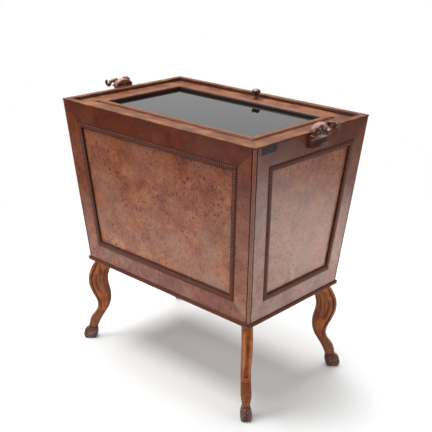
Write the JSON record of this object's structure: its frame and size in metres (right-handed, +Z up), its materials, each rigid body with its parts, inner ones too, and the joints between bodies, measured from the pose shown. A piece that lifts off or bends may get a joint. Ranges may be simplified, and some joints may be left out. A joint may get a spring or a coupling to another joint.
{
  "type": "cellarette",
  "caption": "Tapered burr-veneered wine cooler on carved hoofed legs, with a glazed lid on pivot hinges, carved end handles and bottle divisions inside.",
  "frame": {"origin": "on the floor, under the middle of the case", "axes": "+X along the long sides to the right-hand end, +Y from the hinge side to the knob side, +Z up"},
  "size_m": [0.7638, 0.446, 0.7456],
  "materials": {
    "burr_veneer": "burr veneer, French polished",
    "rim_veneer": "straight-grained veneer, French polished",
    "dark_moulding": "stained hardwood moulding, polished",
    "carved_wood": "carved and waxed solid wood",
    "inner_wood": "planed softwood, stained",
    "black_glass": "polished black glass",
    "iron": "darkened iron",
    "zinc": "dull sheet zinc"
  },
  "bodies": {
    "case": {"back_board": "burr_veneer", "right_board": "burr_veneer", "front_board": "burr_veneer", "left_board": "burr_veneer", "back_rim_cap": "rim_veneer", "right_rim_cap": "rim_veneer", "front_rim_cap": "rim_veneer", "left_rim_cap": "rim_veneer", "back_panel_moulding": "dark_moulding", "right_panel_moulding": "dark_moulding", "front_panel_moulding": "dark_moulding", "left_panel_moulding": "dark_moulding", "back_base_moulding": "dark_moulding", "right_base_moulding": "dark_moulding", "front_base_moulding": "dark_moulding", "left_base_moulding": "dark_moulding", "back_lid_ledge": "inner_wood", "right_lid_ledge": "inner_wood", "front_lid_ledge": "inner_wood", "left_lid_ledge": "inner_wood", "back_left_corner_bead": "dark_moulding", "back_right_corner_bead": "dark_moulding", "front_right_corner_bead": "dark_moulding", "front_left_corner_bead": "dark_moulding", "back_left_leg": "carved_wood", "back_right_leg": "carved_wood", "front_right_leg": "carved_wood", "front_left_leg": "carved_wood", "bottom_board": "inner_wood", "zinc_liner": "zinc", "long_division_1": "inner_wood", "long_division_2": "inner_wood", "cross_division_1": "inner_wood", "cross_division_2": "inner_wood", "cross_division_3": "inner_wood", "cross_division_4": "inner_wood", "right_hinge_plate": "iron", "left_hinge_plate": "iron", "right_hinge_pin": "iron", "left_hinge_pin": "iron", "right_handle": "carved_wood", "left_handle": "carved_wood", "right_handle_screw_1": "iron", "right_handle_screw_2": "iron", "left_handle_screw_1": "iron", "left_handle_screw_2": "iron"},
    "lid": {"lid_back_rail": "rim_veneer", "lid_right_rail": "rim_veneer", "lid_front_rail": "rim_veneer", "lid_left_rail": "rim_veneer", "lid_back_moulding": "dark_moulding", "lid_right_moulding": "dark_moulding", "lid_front_moulding": "dark_moulding", "lid_left_moulding": "dark_moulding", "lid_glass": "black_glass", "lid_backing_board": "inner_wood", "lid_knob": "carved_wood"}
  },
  "joints": [
    {"name": "lid_hinge", "type": "hinge", "parent": "case", "child": "lid", "pos_m": [0, -0.1913, 0.704], "axis": [1, 0, 0], "range_deg": [0, 100]}
  ]
}
